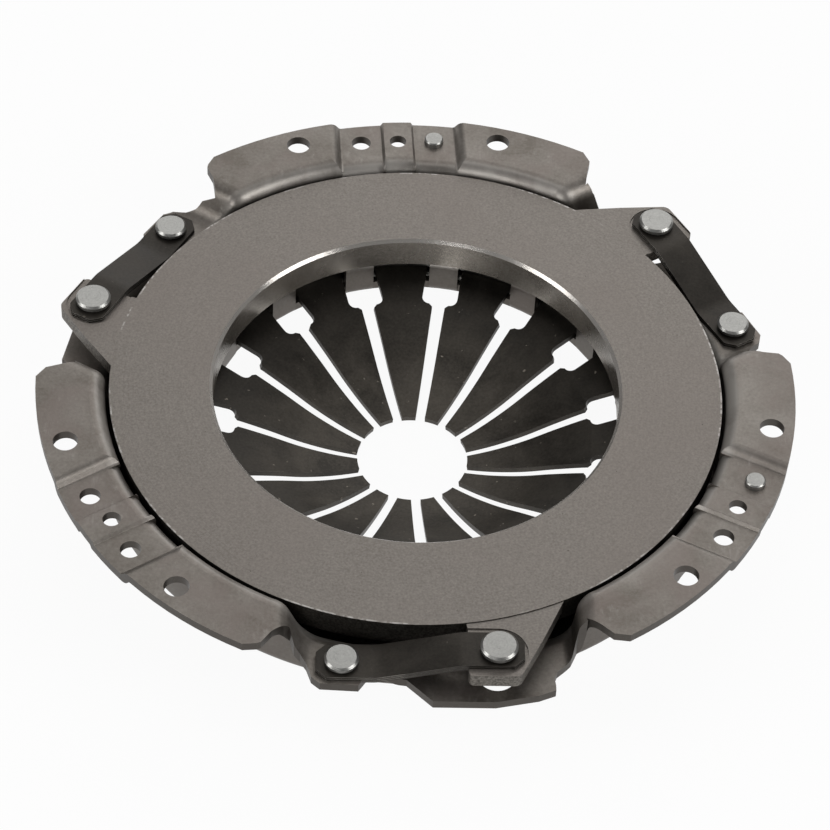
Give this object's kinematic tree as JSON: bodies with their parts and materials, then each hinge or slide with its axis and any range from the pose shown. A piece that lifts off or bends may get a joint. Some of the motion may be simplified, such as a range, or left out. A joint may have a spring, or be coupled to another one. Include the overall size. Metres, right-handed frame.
{
  "type": "clutch pressure plate",
  "caption": "Diaphragm-spring clutch pressure plate: cast friction ring on spring straps in a pressed steel cover with a lobed bolting flange",
  "frame": {"origin": "on the shaft axis, in the plane where the cover's flange bolts to the flywheel", "axes": "+Z along the shaft axis towards the flywheel, out of the friction face; +X and +Y in the mounting plane"},
  "size_m": [0.2517, 0.248, 0.043],
  "materials": {
    "cover_steel": "pressed steel, oiled satin",
    "ring_iron": "turned and ground cast iron",
    "spring_steel": "blackened satin",
    "strap_steel": "blackened satin",
    "wire_steel": "drawn wire",
    "rivet_steel": "bright zinc"
  },
  "bodies": {
    "cover": {"cover": "cover_steel", "diaphragm_spring": "spring_steel", "upper_pivot_ring": "wire_steel", "lower_pivot_ring": "wire_steel", "strap_1_leaf_1": "strap_steel", "strap_1_leaf_2": "strap_steel", "strap_1_leaf_3": "strap_steel", "strap_2_leaf_1": "strap_steel", "strap_2_leaf_2": "strap_steel", "strap_2_leaf_3": "strap_steel", "strap_3_leaf_1": "strap_steel", "strap_3_leaf_2": "strap_steel", "strap_3_leaf_3": "strap_steel", "ear_rivet_1": "rivet_steel", "ear_rivet_2": "rivet_steel", "ear_rivet_3": "rivet_steel", "balance_rivet_1": "rivet_steel", "balance_rivet_2": "rivet_steel"},
    "plate": {"pressure_plate": "ring_iron", "lug_rivet_1": "rivet_steel", "lug_rivet_2": "rivet_steel", "lug_rivet_3": "rivet_steel"}
  },
  "joints": [
    {"name": "plate_lift", "type": "slide", "parent": "cover", "child": "plate", "axis": [0, 0, 1], "range_m": [-0.0042, 0], "stiffness_N_per_m": 40000, "springref_m": 0.0008, "deforming": ["diaphragm_spring", "strap_1_leaf_1", "strap_1_leaf_2", "strap_1_leaf_3", "strap_2_leaf_1", "strap_2_leaf_2", "strap_2_leaf_3", "strap_3_leaf_1", "strap_3_leaf_2", "strap_3_leaf_3"]}
  ]
}
